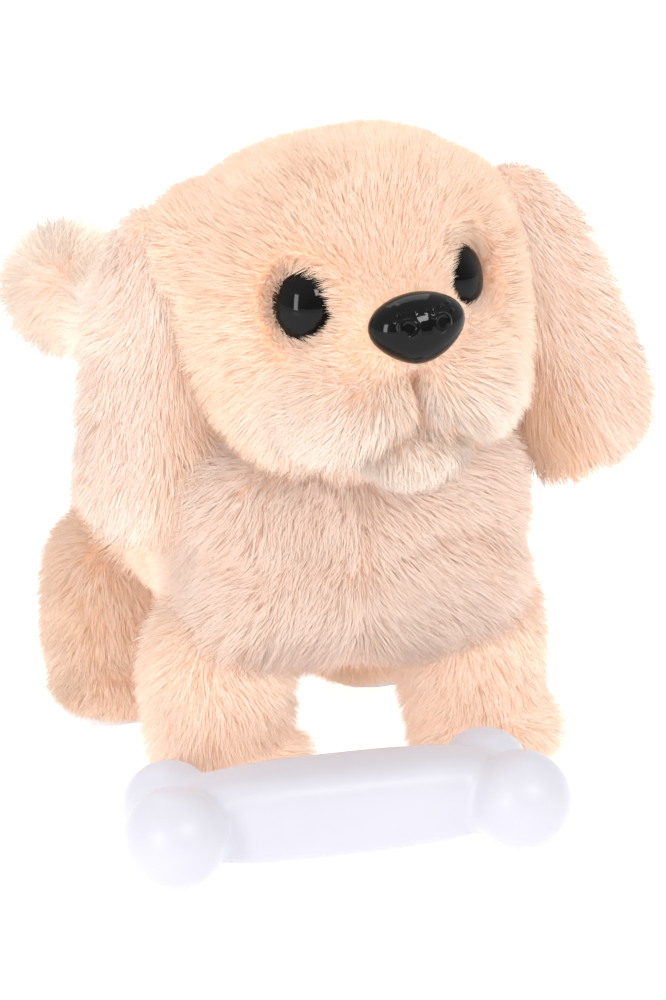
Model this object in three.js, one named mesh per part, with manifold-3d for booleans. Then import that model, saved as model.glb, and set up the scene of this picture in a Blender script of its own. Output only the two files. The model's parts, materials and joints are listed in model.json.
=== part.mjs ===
// Interactive plush puppy with a loose toy bone: a plastic chassis with motor, gears and cranks walks four
// plush-covered legs, the head nods, the jaw opens, the tail wags and the ears flop.
// Units are millimetres, +Z is up, the puppy faces -Y and its left side is +X.
import * as THREE from 'three';
import { mergeVertices } from 'three/addons/utils/BufferGeometryUtils.js';
import Module from 'manifold-3d';

const wasm = await Module();
wasm.setup();

// ---- driving dimensions ----
const FRAME_SHIFT = [-3.7, -20.3, 0];       // moves the middle of the whole object's box onto the origin
const GAP = 0.3;                            // left between pieces that touch
const LEG = { front: [31.5, -22], hind: [34.5, 47], pivotZ: 52, swingDegrees: 7, soleZ: 2.5,
  radii: [14.5, 13.5, 25] };
const LEVER = { inner: 24, outer: 26.5, halfWidth: 5, linkZ: 61, frontTop: 76, hindTop: 65 };
const CHASSIS = { low: [-20.5, -39, 38], high: [20.5, 61, 82], corner: 8, bevel: 3, wall: 1.7, splitZ: 59 };
const BODY = { centre: [0, 12, 65], radii: [41, 58, 31], power: 3.3 };
const CRANK = { y: LEG.front[1], z: 68, radius: 2, axleRadius: 1.5 };
const GEAR = { module: 0.75, wheelTeeth: 24, pinionTeeth: 8, thickness: 2.6 };
const CELL = { radius: 7.2, length: 50.5, x: 7.5, y: 26, z: 49.4 };       // an AA cell
const DOOR = { halfWidth: 14.2, yMin: -2, yMax: 57, thickness: 1.6, screwY: 54.3 };
const SWITCH_Y = -20;
const HEAD = { centre: [-0.5, -26, 115], yawDegrees: -3, rollDegrees: -5.5, radii: [38.5, 36, 37.5],
  power: 2.6 };
const NECK = { y: 2, z: -13, pinRadius: 2 };            // head pivot, from the head centre
const SKULL = { centre: [0, 1, 1], radii: [25, 24, 25], wall: 2 };
const MUZZLE = { centre: [0, -24, -10], radii: [25, 19, 19], cheekX: 17 };
const EYE = { x: 18.8, y: -28.6, z: 7.6, radius: 7.3, depth: 5.2, outDegrees: 34, upDegrees: 10 };
const NOSE = { centre: [0.3, -41.5, 3.4], radii: [10.6, 6, 7.9], upDegrees: 8 };
const JAW = { pivot: [0, -12, -20], chin: [2, -28, -26.5], radii: [11.5, 10, 7.5], openDegrees: 12 };
const HEAD_ROOM = 3.2;                      // clear space round the head for its nod of 7 degrees each way
const EAR = { length: 77, width: 32, thickness: 13 };
const EAR_RIGHT = { top: [-37, 10, 26], flareDegrees: 11, turnDegrees: 50 };
const EAR_LEFT = { top: [37, 2, 23], flareDegrees: 18, turnDegrees: 82 };
const TAIL = { pivot: [0, 55, 75], restDegrees: 24.5, riseDegrees: 17, length: 60.5, ballRadius: 15 };
const BONE = { centre: [-15.5, -57.5], turnDegrees: -6.7, lobeX: [38.6, 36], lobeY: [-8.8, 8.8],
  lobeRadius: [11.2, 10.4], shaftRadius: 10.5, wall: 1.6 };                  // front pair of lobes, rear pair

// ---- materials ----
const finish = (color, roughness, metalness = 0) =>
  new THREE.MeshStandardMaterial({ color, roughness, metalness });
const PEACH_PLUSH = finish(0xf6dcc4, 0.95);
const CREAM_PLUSH = finish(0xfae8d8, 0.95);
const WHITE_PLASTIC = finish(0xf2f1f4, 0.38);
const BLACK_GLOSS = finish(0x08080a, 0.08);
const GREY_PLASTIC = finish(0xb9b6b0, 0.5);
const GEAR_PLASTIC = finish(0xe9e2cf, 0.45);
const STEEL = finish(0xb8bbc0, 0.3, 1);
const CELL_WRAP = finish(0x3d5f46, 0.4);
const BOARD_GREEN = finish(0x1f6b3f, 0.5);
const SPEAKER_BLACK = finish(0x2a2a2c, 0.6);
const COPPER = finish(0xc98a5a, 0.35, 1);

// ---- solids ----
const radians = THREE.MathUtils.degToRad;

function solid(geometry) {
  const bare = geometry.index ? geometry.toNonIndexed() : geometry.clone();
  bare.deleteAttribute('normal');
  bare.deleteAttribute('uv');
  const merged = mergeVertices(bare, 1e-4);
  return new wasm.Manifold(new wasm.Mesh({
    numProp: 3,
    vertProperties: new Float32Array(merged.attributes.position.array),
    triVerts: new Uint32Array(merged.index.array),
  }));
}

function geometryOf(body) {
  const cut = body.getMesh();
  const geometry = new THREE.BufferGeometry();
  geometry.setAttribute('position', new THREE.BufferAttribute(new Float32Array(cut.vertProperties), 3));
  geometry.setIndex(new THREE.BufferAttribute(new Uint32Array(cut.triVerts), 1));
  geometry.computeVertexNormals();
  return geometry;
}

const union = (...bodies) => bodies.reduce((sum, body) => sum.add(body));

function placement([x, y, z], [turnX, turnY, turnZ] = [0, 0, 0]) {
  const turn = new THREE.Euler(radians(turnX), radians(turnY), radians(turnZ));
  return new THREE.Matrix4().makeRotationFromEuler(turn).setPosition(x, y, z);
}

function moved(body, matrix) {
  const geometry = geometryOf(body).applyMatrix4(matrix);
  return solid(geometry);
}

function box([x0, y0, z0], [x1, y1, z1]) {
  const geometry = new THREE.BoxGeometry(x1 - x0, y1 - y0, z1 - z0);
  return solid(geometry.translate((x0 + x1) / 2, (y0 + y1) / 2, (z0 + z1) / 2));
}

// A round bar along X, Y or Z between two coordinates on that axis; the other two coordinates are its centre.
function bar(axis, radius, from, to, [a, b], segments = 10) {
  const geometry = new THREE.CylinderGeometry(radius, radius, to - from, segments);
  const middle = (from + to) / 2;
  if (axis === 'x') geometry.rotateZ(-Math.PI / 2).translate(middle, a, b);
  if (axis === 'y') geometry.translate(a, middle, b);
  if (axis === 'z') geometry.rotateX(Math.PI / 2).translate(a, b, middle);
  return solid(geometry);
}

// A rounded solid: a sphere drawn out to a superellipsoid, boxier as the power grows above 2.
function blob(centre, [rx, ry, rz], power = 2, segments = 24) {
  const geometry = new THREE.SphereGeometry(1, segments, Math.round(segments * 0.6)).rotateX(Math.PI / 2);
  const position = geometry.attributes.position;
  const point = new THREE.Vector3();
  for (let i = 0; i < position.count; i++) {
    point.fromBufferAttribute(position, i);
    const ratios = [point.x / rx, point.y / ry, point.z / rz];
    const sum = ratios.reduce((total, ratio) => total + Math.abs(ratio) ** power, 0);
    point.multiplyScalar(sum ** (-1 / power));
    position.setXYZ(i, point.x + centre[0], point.y + centre[1], point.z + centre[2]);
  }
  return solid(geometry);
}

const grown = (radii, amount) => radii.map((radius) => radius + amount);

// The space a piece takes as it turns between two angles about a pivot.
function swept(body, pivot, axis, fromDegrees, toDegrees, steps) {
  let space = null;
  for (let i = 0; i <= steps; i++) {
    const angle = radians(fromDegrees + ((toDegrees - fromDegrees) * i) / steps);
    const turn = new THREE.Matrix4().makeTranslation(...pivot)
      .multiply(new THREE.Matrix4().makeRotationAxis(new THREE.Vector3(...axis), angle))
      .multiply(new THREE.Matrix4().makeTranslation(...pivot.map((value) => -value)));
    const copy = moved(body, turn);
    space = space ? space.add(copy) : copy;
  }
  return space;
}

function named(name, shape, material, matrix = null) {
  const geometry = shape.isBufferGeometry ? shape : geometryOf(shape);
  const piece = new THREE.Mesh(geometry, material);
  piece.name = name;
  if (matrix) piece.applyMatrix4(matrix);
  return piece;
}

// ---- chassis ----
const [SIDE, , ROOF] = CHASSIS.high;
const FLOOR = CHASSIS.low[2];

function chassisBlock(grow) {
  const { low, high, bevel } = CHASSIS;
  const corner = CHASSIS.corner + grow - bevel;
  const [halfX, y0, y1] = [high[0] + grow - bevel, low[1] - grow + bevel, high[1] + grow - bevel];
  const outline = new THREE.Shape();
  outline.absarc(halfX - corner, y1 - corner, corner, 0, Math.PI / 2);
  outline.absarc(-halfX + corner, y1 - corner, corner, Math.PI / 2, Math.PI);
  outline.absarc(-halfX + corner, y0 + corner, corner, Math.PI, 1.5 * Math.PI);
  outline.absarc(halfX - corner, y0 + corner, corner, 1.5 * Math.PI, 2 * Math.PI);
  const block = new THREE.ExtrudeGeometry(outline, { depth: high[2] - low[2] + 2 * (grow - bevel),
    bevelThickness: bevel, bevelSize: bevel, bevelSegments: 1, curveSegments: 3 });
  return solid(block.translate(0, 0, low[2] - grow + bevel));
}
const chassisOuter = chassisBlock(0);
const chassisInner = chassisBlock(-CHASSIS.wall);
const SCREW_PLACES = [[-15, -33.5], [15, -33.5], [-15.2, 56], [15.2, 56]];
const wide = 80;

function gearAxes() {
  const centres = (GEAR.module * (GEAR.wheelTeeth + GEAR.pinionTeeth)) / 2;
  const axes = [[CRANK.y, CRANK.z]];
  for (const degrees of [5, -15, 20]) {
    const [y, z] = axes.at(-1);
    axes.push([y + centres * Math.cos(radians(degrees)), z + centres * Math.sin(radians(degrees))]);
  }
  return axes;
}
const [CRANK_AXIS, SECOND_AXIS, FIRST_AXIS, MOTOR_AXIS] = gearAxes();

function chassisShell() {
  let shell = chassisOuter.subtract(chassisInner);
  for (const [x, y] of SCREW_PLACES) {
    const post = bar('z', 3.5, FLOOR, CHASSIS.splitZ + 8, [x, y]).intersect(chassisOuter);
    shell = shell.add(post);
  }
  for (const [x, y] of SCREW_PLACES) {
    shell = shell.subtract(bar('z', 1.4, 0, CHASSIS.splitZ + 6.3, [x, y]));
    shell = shell.subtract(bar('z', 2.7, 0, CHASSIS.splitZ - 12, [x, y]));
  }
  shell = shell.subtract(bar('x', CRANK.axleRadius + GAP, -wide, wide, CRANK_AXIS));
  for (const axis of [SECOND_AXIS, FIRST_AXIS]) {
    shell = shell.subtract(bar('x', 1.3, -SIDE + 0.8, SIDE - 0.8, axis));
  }
  for (const y of [LEG.front[1], LEG.hind[1]]) {
    for (const side of [-1, 1]) {
      const from = side > 0 ? SIDE - 1.2 : -LEVER.outer - 0.8;
      const boss = bar('x', 3, from, from + LEVER.outer + 2 - SIDE, [y, LEG.pivotZ]);
      shell = shell.add(boss);
    }
  }
  return shell;
}

function chassisLower(shell) {
  const lower = shell.intersect(box([-wide, -wide, 0], [wide, wide, CHASSIS.splitZ - GAP / 2]));
  const doorHole = box([-DOOR.halfWidth, DOOR.yMin, 0], [DOOR.halfWidth, DOOR.yMax, FLOOR + 3]);
  const knobSlot = box([-2.2, SWITCH_Y - 4.6, 0], [2.2, SWITCH_Y + 4.6, FLOOR + 3]);
  const doorBoss = box([-2.5, DOOR.screwY - 2.2, FLOOR + 3.1], [2.5, CHASSIS.high[1] - 1, FLOOR + 9]);
  return lower.subtract(doorHole).subtract(knobSlot).add(doorBoss)
    .subtract(bar('z', 1.3, FLOOR, FLOOR + 8, [0, DOOR.screwY]));
}

function chassisUpper(shell) {
  const upper = shell.intersect(box([-wide, -wide, CHASSIS.splitZ + GAP / 2], [wide, wide, 2 * wide]));
  const [tailX, tailY, tailZ] = TAIL.pivot;
  const tailSlot = box([-6, tailY + 3.2, tailZ - 4.5], [6, wide, tailZ + 4.6]);
  const tailPin = bar('z', 1.1, tailZ - 3, ROOF - 0.5, [tailX, tailY]);
  const [headX, headY] = HEAD.centre;
  const neckHole = bar('z', 2.5, ROOF - 5, ROOF + 5, [headX, headY + NECK.y]);
  return upper.subtract(tailSlot).subtract(neckHole).add(tailPin);
}

function batteryDoor() {
  const plate = box([-DOOR.halfWidth + GAP, DOOR.yMin + GAP, FLOOR + 0.2],
    [DOOR.halfWidth - GAP, DOOR.yMax - GAP, FLOOR + 0.2 + DOOR.thickness]);
  return plate.subtract(bar('z', 1.3, 0, wide, [0, DOOR.screwY]));
}

function screw(headRadius, shankRadius, length) {
  const head = 1.2;
  const profile = [[0, 0], [headRadius, 0], [headRadius, head], [shankRadius, head], [shankRadius, length],
    [0, length]];
  return new THREE.LatheGeometry(profile.map(([x, y]) => new THREE.Vector2(x, y)), 10).rotateX(Math.PI / 2);
}

// ---- power and electronics ----
function cell() {
  const half = CELL.length / 2;
  const shoulder = half - 1.2;
  const profile = [[0, -half], [CELL.radius, -half], [CELL.radius, shoulder], [2.7, shoulder], [2.7, half],
    [0, half]];
  return new THREE.LatheGeometry(profile.map(([x, y]) => new THREE.Vector2(x, y)), 18);
}

class Helix extends THREE.Curve {
  constructor(turns, startRadius, endRadius, height) {
    super();
    Object.assign(this, { turns, startRadius, endRadius, height });
  }
  getPoint(t, target = new THREE.Vector3()) {
    const angle = 2 * Math.PI * this.turns * t;
    const radius = THREE.MathUtils.lerp(this.startRadius, this.endRadius, t);
    return target.set(radius * Math.cos(angle), this.height * t, radius * Math.sin(angle));
  }
}

function coilSpring() {
  const wire = new THREE.Shape().absarc(0, 0, 0.35, 0, 2 * Math.PI);
  return new THREE.ExtrudeGeometry(wire, { extrudePath: new Helix(3, 4.2, 2.2, 3), steps: 24, curveSegments: 2,
    bevelEnabled: false });
}

function circuitBoard() {
  const z = 61.2;
  const board = box([-17, 23, z], [17, 51.5, z + 1.4]);
  const chips = [[-8, 30, 7, 4.5, 1.8], [7, 29, 4, 4, 3], [9, 45, 5, 3, 2.2], [-9, 45, 3, 3, 3.2]];
  return chips.reduce((sum, [x, y, halfX, halfY, height]) =>
    sum.add(box([x - halfX, y - halfY, z + 1], [x + halfX, y + halfY, z + 1.4 + height])), board);
}

function speaker() {
  const profile = [[0, 0], [6, 0], [6, 3.4], [10.5, 5], [13.5, 5], [13.5, 7], [11.5, 7], [4, 5.2], [0, 6]];
  return new THREE.LatheGeometry(profile.map(([x, y]) => new THREE.Vector2(x, y)), 16).rotateX(Math.PI / 2);
}

function motor() {
  const [y, z] = MOTOR_AXIS;
  const can = bar('x', 9.8, -17, 6, MOTOR_AXIS, 20)
    .intersect(box([-20, y - 12, z - 7.5], [20, y + 12, z + 7.5]));
  return union(can, bar('x', 3, 5, 7.4, MOTOR_AXIS), bar('x', 0.9, 6, 12.2, MOTOR_AXIS, 12),
    bar('x', 2.4, -18, -16.5, MOTOR_AXIS));
}

// ---- gears: spur teeth as trapezoids, in mesh at rest ----
function toothedWheel(teeth, phase) {
  const pitch = (GEAR.module * teeth) / 2;
  const step = (2 * Math.PI) / teeth;
  const outline = new THREE.Shape();
  const corners = [[-0.30, -1.15], [-0.13, 0.85], [0.13, 0.85], [0.30, -1.15]];
  for (let tooth = 0; tooth < teeth; tooth++) {
    for (const [along, depth] of corners) {
      const angle = (tooth + phase + along) * step;
      const radius = pitch + depth * GEAR.module;
      const [x, y] = [radius * Math.cos(angle), radius * Math.sin(angle)];
      if (tooth === 0 && along === corners[0][0]) outline.moveTo(x, y);
      else outline.lineTo(x, y);
    }
  }
  return outline;
}

// The outline's plane becomes YZ and its thickness runs along X.
function gearWheel(teeth, phase, xFrom, xTo, [y, z]) {
  const settings = { depth: xTo - xFrom, bevelEnabled: false };
  const geometry = new THREE.ExtrudeGeometry(toothedWheel(teeth, phase), settings);
  const axes = new THREE.Matrix4().makeBasis(new THREE.Vector3(0, 1, 0), new THREE.Vector3(0, 0, 1),
    new THREE.Vector3(1, 0, 0));
  return solid(geometry.applyMatrix4(axes).translate(xFrom, y, z));
}

// Phase that puts a gap of this wheel on the line towards its driver, when the driver has a tooth there.
function meshPhase(teeth, [y, z], [otherY, otherZ], offset) {
  const towards = Math.atan2(otherZ - z, otherY - y) / ((2 * Math.PI) / teeth);
  return towards + offset;
}

function gearTrain() {
  const { wheelTeeth, pinionTeeth, thickness } = GEAR;
  const places = [3.5, 7.6, 11.7];
  const wall = SIDE - 1.1;
  const crankGear = union(
    gearWheel(wheelTeeth, meshPhase(wheelTeeth, CRANK_AXIS, SECOND_AXIS, 0), places[0], places[0] + thickness,
      CRANK_AXIS),
    bar('x', CRANK.axleRadius, -23.1, 23.1, CRANK_AXIS, 14), bar('x', 3, 1.5, 4, CRANK_AXIS));
  const compound = (axis, driven, driver, place) => union(
    gearWheel(wheelTeeth, meshPhase(wheelTeeth, axis, driver, 0), place + 4.1, place + 4.1 + thickness, axis),
    gearWheel(pinionTeeth, meshPhase(pinionTeeth, axis, driven, 0.5), place - 0.3, place + 4.3, axis),
    bar('x', 1, -wall, wall, axis, 12));
  const phase = meshPhase(pinionTeeth, MOTOR_AXIS, FIRST_AXIS, 0.5);
  const pinion = gearWheel(pinionTeeth, phase, 11.4, 15.4, MOTOR_AXIS);
  return {
    crank_gear: crankGear,
    reduction_gear_2: compound(SECOND_AXIS, CRANK_AXIS, FIRST_AXIS, places[0]),
    reduction_gear_1: compound(FIRST_AXIS, SECOND_AXIS, MOTOR_AXIS, places[1]),
    motor_pinion: pinion.subtract(bar('x', 1.05, 0, 12.6, MOTOR_AXIS, 12)),
  };
}

function crankDisc(side, pinDegrees) {
  const [y, z] = CRANK_AXIS;
  const turn = radians(pinDegrees);
  const pin = [y + CRANK.radius * Math.cos(turn), z + CRANK.radius * Math.sin(turn)];
  const span = (near, far) => (side > 0 ? [near, far] : [-far, -near]);
  const disc = bar('x', 5.4, ...span(20.9, 22.9), CRANK_AXIS, 14).add(bar('x', 1.3, ...span(22.5, 23.7), pin, 12));
  return disc.subtract(bar('x', CRANK.axleRadius + 0.15, -23.3, 23.3, [y, z], 14));
}

// ---- legs ----
function legCoverShape(side, [x, y], grow) {
  const outer = blob([side * x, y, 22], grown(LEG.radii, grow), 2.7, 12);
  return outer.intersect(box([-wide, -wide, 0.8 - grow], [wide, wide, wide]));
}

function legCore(side, [x, y], top, hasSlot) {
  const span = (near, far) => (side > 0 ? [near, far] : [-far, -near]);
  const slab = (near, far, halfY, z0, z1) => {
    const [from, to] = span(near, far);
    return box([from, y - halfY, z0], [to, y + halfY, z1]);
  };
  const sole = blob([side * x, y, 0], [11.5, 12.8, 8], 3, 14)
    .intersect(box([-wide, -wide, 0], [wide, wide, LEG.soleZ]));
  let core = union(
    slab(LEVER.inner, LEVER.outer, LEVER.halfWidth, 33, top - LEVER.halfWidth),
    bar('x', LEVER.halfWidth, ...span(LEVER.inner, LEVER.outer), [y, top - LEVER.halfWidth]),
    slab(LEVER.inner, x + 2, LEVER.halfWidth - 0.4, 33, 39),
    bar('z', 5, LEG.soleZ - 1, 39, [side * x, y]), sole,
    bar('x', 1.5, ...span(LEVER.outer - 0.5, 29.4), [y, LEVER.linkZ], 12));
  core = core.subtract(bar('x', 3.3, ...span(LEVER.inner - 1, LEVER.outer + 1), [y, LEG.pivotZ], 14));
  if (hasSlot) core = core.subtract(slab(LEVER.inner - 1, LEVER.outer + 1, 1.7, CRANK.z - 4.8, CRANK.z + 4.8));
  return core;
}

function legCover(side, place) {
  const [x, y] = place;
  const solePocket = blob([side * x, y, 0], [12.2, 13.5, 9], 3, 14)
    .intersect(box([-wide, -wide, -9], [wide, wide, LEG.soleZ + GAP]));
  const [near, far] = side > 0 ? [LEVER.inner - 4, x + 2.4] : [-x - 2.4, -LEVER.inner + 4];
  const leverRoom = box([near, y - LEVER.halfWidth - GAP, 32.7], [far, y + LEVER.halfWidth + GAP, wide]);
  return legCoverShape(side, place, 0).subtract(solePocket).subtract(leverRoom)
    .subtract(bar('z', 5.4, 0, 40, [side * x, y]));
}

function linkBar(side) {
  const [from, to] = side > 0 ? [26.9, 28.9] : [-28.9, -26.9];
  const ends = [LEG.front[1], LEG.hind[1]];
  const strip = box([from, ends[0], LEVER.linkZ - 2.6], [to, ends[1], LEVER.linkZ + 2.6]);
  return ends.reduce((sum, y) => sum.add(bar('x', 3.4, from, to, [y, LEVER.linkZ])), strip)
    .subtract(bar('x', 1.75, from - 1, to + 1, [ends[0], LEVER.linkZ]))
    .subtract(bar('x', 2.3, from - 1, to + 1, [ends[1], LEVER.linkZ]));
}

// ---- head, in its own frame: the origin is the head centre and the nose points along -Y ----
const HEAD_PLACE = placement(HEAD.centre, [0, HEAD.rollDegrees, HEAD.yawDegrees]);
const NECK_PIVOT = [0, NECK.y, NECK.z];

function headShape(grow, detail = 16) {
  const ball = blob([0, 0, 0], grown(HEAD.radii, grow), HEAD.power, detail);
  const muzzle = blob(MUZZLE.centre, grown(MUZZLE.radii, grow), 2.2, detail - 4);
  const cheekRadii = grown([19, 20, 18], grow);
  const cheeks = [-1, 1].map((side) => blob([side * MUZZLE.cheekX, -8, -17], cheekRadii, 2, detail - 6));
  return union(ball, muzzle, ...cheeks);
}

// A domed eye or nose on a shank: the shank runs back along the direction the piece faces.
function studPlacement([x, y, z], degreesUp, degreesOut) {
  return placement([x, y, z], [-degreesUp, 0, degreesOut]);
}

function eyeShape(grow) {
  const { radius, depth } = EYE;
  const profile = [[0, 11 + grow], [1.6 + grow, 11 + grow], [1.6 + grow, grow], [radius + grow, grow]];
  for (let i = 1; i <= 4; i++) {
    const angle = (i / 4) * (Math.PI / 2);
    profile.push([i === 4 ? 0 : (radius + grow) * Math.cos(angle), -(depth + grow) * Math.sin(angle)]);
  }
  return solid(new THREE.LatheGeometry(profile.reverse().map(([x, y]) => new THREE.Vector2(x, y)), 12));
}

function noseShape(grow) {
  const pad = blob([0, 0, 0], grown(NOSE.radii, grow), 2.4, 12);
  return pad.add(bar('y', 2 + grow, 0, 20 + grow, [0, 0], 12));
}

function washer(radius, hole) {
  const ring = [[hole, 0], [radius, 0], [radius, 1.2], [hole, 1.2], [hole, 0]];
  return solid(new THREE.LatheGeometry(ring.map(([x, y]) => new THREE.Vector2(x, y)), 18));
}

const EYE_PLACES = {
  right: studPlacement([-EYE.x, EYE.y, EYE.z], EYE.upDegrees, -EYE.outDegrees),
  left: studPlacement([EYE.x, EYE.y, EYE.z], EYE.upDegrees, EYE.outDegrees),
};
const NOSE_PLACE = studPlacement(NOSE.centre, NOSE.upDegrees, 0);

function jawChin(grow) {
  return blob(JAW.chin, grown(JAW.radii, grow), 2.3, 14);
}

function jawLever(grow) {
  const [, y, z] = JAW.pivot;
  return union(box([-3 - grow, JAW.chin[1] + 2, z - 2 - grow], [3 + grow, y, z + 2 + grow]),
    bar('x', 3 + grow, -6 - grow, 6 + grow, [y, z]));
}

// The neck post stands on the chassis roof; its eye is tilted with the head.
function neckPost() {
  const [headX, headY] = HEAD.centre;
  const y = headY + NECK.y;
  const eye = bar('x', 4.4, -6.5, 6.5, [NECK.y, NECK.z]).subtract(bar('x', 2.3, -9, 9, [NECK.y, NECK.z], 12));
  const pinRoom = bar('x', 2.3, -9, 9, [NECK.y, NECK.z], 12);
  const foot = union(box([headX - 8, y - 6, ROOF + 0.3], [headX + 8, y + 10, ROOF + 2.1]),
    box([headX - 4, y - 3.2, ROOF + 1], [headX + 4, y + 3.2, ROOF + 18]),
    bar('z', 2.2, ROOF - 3, ROOF + 1, [headX, y]));
  return foot.add(moved(eye, HEAD_PLACE)).subtract(moved(pinRoom, HEAD_PLACE));
}

// The hollow for the skull, the neck opening, and a flat underside that stays clear of the chassis roof.
function headCavity() {
  return union(box([-25, -19.5, -wide], [25, wide, -28]),
    blob(SKULL.centre, grown(SKULL.radii, GAP + 0.3), 2.3, 12),
    bar('z', 15, -wide, -14, [0, NECK.y], 16));
}

function skull() {
  const shell = blob(SKULL.centre, SKULL.radii, 2.3, 12)
    .subtract(blob(SKULL.centre, grown(SKULL.radii, -SKULL.wall), 2.3, 12));
  const pivotY = NECK.y;
  const lugs = [-1, 1].map((side) => {
    const [from, to] = side > 0 ? [7, 10] : [-10, -7];
    return union(bar('x', 4.4, from, to, [pivotY, NECK.z]), box([from, pivotY - 3, NECK.z], [to, pivotY + 3, 1]),
      box([from, pivotY - 3, -2], [to, 23, 1]));
  });
  const neckRoom = bar('z', 10.5, -wide, -17.6, [0, pivotY], 20);
  return union(shell, ...lugs).subtract(neckRoom)
    .subtract(bar('x', NECK.pinRadius + 0.15, -wide, wide, [pivotY, NECK.z]));
}

function skullHalf(isFront, jawRoom) {
  const split = NECK.y - 5.5;
  const half = isFront ? box([-wide, -wide, -wide], [wide, split - GAP / 2, wide])
    : box([-wide, split + GAP / 2, -wide], [wide, wide, wide]);
  let shell = skull().intersect(half);
  for (const place of Object.values(EYE_PLACES)) shell = shell.subtract(moved(eyeShape(GAP), place));
  shell = shell.subtract(moved(noseShape(GAP), NOSE_PLACE));
  return shell.subtract(jawRoom);
}

function earShape(side) {
  const { length, width, thickness } = EAR;
  const outline = new THREE.Shape();
  const half = width / 2;
  outline.moveTo(0, 0);
  outline.bezierCurveTo(half * 0.75, 0, half * 0.9, -length * 0.35, half, -length * 0.66);
  outline.bezierCurveTo(half * 1.05, -length * 0.92, half * 0.5, -length, 0, -length);
  outline.bezierCurveTo(-half * 0.5, -length, -half * 1.05, -length * 0.92, -half, -length * 0.66);
  outline.bezierCurveTo(-half * 0.9, -length * 0.35, -half * 0.75, 0, 0, 0);
  const flap = new THREE.ExtrudeGeometry(outline, { depth: thickness - 7, bevelEnabled: true, bevelThickness: 3.5,
    bevelSize: 3, bevelOffset: -3, bevelSegments: 1, curveSegments: 4 });
  const axes = new THREE.Matrix4().makeBasis(new THREE.Vector3(0, -side, 0), new THREE.Vector3(0, 0, 1),
    new THREE.Vector3(-side, 0, 0));
  return solid(flap.translate(0, 0, -(thickness - 7) / 2).applyMatrix4(axes));
}

function ear(side, { top, flareDegrees, turnDegrees }) {
  const flare = placement(top, [0, -side * flareDegrees, 0]);
  const turn = placement([0, 0, 0], [0, 0, side * -turnDegrees]);
  return moved(earShape(side), flare.multiply(turn)).subtract(headShape(0.7))
    .subtract(moved(blob(BODY.centre, grown(BODY.radii, 2.5), BODY.power, 20), HEAD_PLACE.clone().invert()));
}

// ---- tail, drawn straight back from its pivot and turned to its resting wag ----
const TAIL_PLACE = placement(TAIL.pivot, [0, 0, TAIL.restDegrees])
  .multiply(placement([0, 0, 0], [TAIL.riseDegrees, 0, 0]));

function tailLever() {
  const arm = bar('z', 3.6, -2.4, 2.4, [0, 0]).add(box([-1.6, 0, -2], [1.6, TAIL.length - 12, 2]));
  return arm.subtract(bar('z', 2.3, -5, 5, [0, 0]));
}

function tailCover() {
  const ball = blob([0, TAIL.length, 0], Array(3).fill(TAIL.ballRadius), 2, 12);
  const stalk = blob([0, TAIL.length - 16, 0], [9.5, 22, 9.5], 2, 10);
  return ball.add(stalk).subtract(box([-1.9, -wide, -2.3], [1.9, TAIL.length - 11.7, 2.3]));
}

// The leg cover's space inside the body cover, lengthened both ways for the swing.
function legRoom(side, [x, y]) {
  const swingTravel = (LEG.pivotZ - 33) * Math.tan(radians(LEG.swingDegrees));
  const [halfX, halfY, halfZ] = grown(LEG.radii, 1.8);
  return blob([side * x, y, 22], [halfX, halfY + swingTravel, halfZ], 2.7, 10);
}

// ---- body cover: the plush skin round the chassis, open for the neck, legs, tail and belly ----
function bodyCover() {
  let cover = blob(BODY.centre, BODY.radii, BODY.power, 20)
    .subtract(chassisBlock(0.6));
  const lever = LEVER.halfWidth + 5.6;
  for (const side of [-1, 1]) {
    const [from, to] = side > 0 ? [SIDE - 4, 29.9] : [-29.9, -SIDE + 4];
    const [frontY, hindY] = [LEG.front[1], LEG.hind[1]];
    cover = cover.subtract(box([from, frontY - lever + 0.6, 0], [to, frontY + lever, LEVER.frontTop + 1]));
    cover = cover.subtract(box([from, hindY - lever, 0], [to, hindY + lever - 1, LEVER.hindTop + 1]));
    cover = cover.subtract(box([from, frontY, 56], [to, hindY, LEVER.linkZ + 5]));
    for (const place of [LEG.front, LEG.hind]) {
      cover = cover.subtract(legRoom(side, place));
    }
  }
  cover = cover.subtract(moved(headShape(HEAD_ROOM, 12), HEAD_PLACE)).subtract(moved(jawChin(6.8), HEAD_PLACE));
  const [tailX, tailY, tailZ] = TAIL.pivot;
  cover = cover.subtract(bar('z', 16, tailZ - 5.5, tailZ + 9, [tailX, tailY], 16));
  const bellyHole = box([-DOOR.halfWidth - 1, DOOR.yMin - 1, 0], [DOOR.halfWidth + 1, DOOR.yMax + 1, FLOOR + 5]);
  const knobHole = box([-4, SWITCH_Y - 7, 0], [4, SWITCH_Y + 7, FLOOR + 5]);
  return cover.subtract(bellyHole).subtract(knobHole);
}

// ---- toy bone, lying on the floor ----
const BONE_PLACE = placement([...BONE.centre, BONE.lobeRadius[0]], [0, 0, BONE.turnDegrees]);

function boneShape(shrink) {
  const shaft = BONE.shaftRadius - shrink;
  let bone = blob([0, 0, 0], [BONE.lobeX[0] + 4, shaft, shaft], 3.4, 12);
  BONE.lobeY.forEach((y, i) => {
    const lobe = BONE.lobeRadius[i] - shrink;
    for (const side of [-1, 1]) bone = bone.add(blob([side * BONE.lobeX[i], y, 0], [lobe, lobe, lobe], 2, 10));
  });
  return bone;
}

function boneHalf(isUpper) {
  const shell = boneShape(0).subtract(boneShape(BONE.wall));
  const [z0, z1] = isUpper ? [GAP / 2, wide] : [-wide, -GAP / 2];
  return shell.intersect(box([-wide, -wide, z0], [wide, wide, z1]));
}

// ---- assembly ----
const pet = new THREE.Group();
pet.name = 'interactive_plush_puppy';
pet.position.set(...FRAME_SHIFT);
const add = (...args) => pet.add(named(...args));

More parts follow.
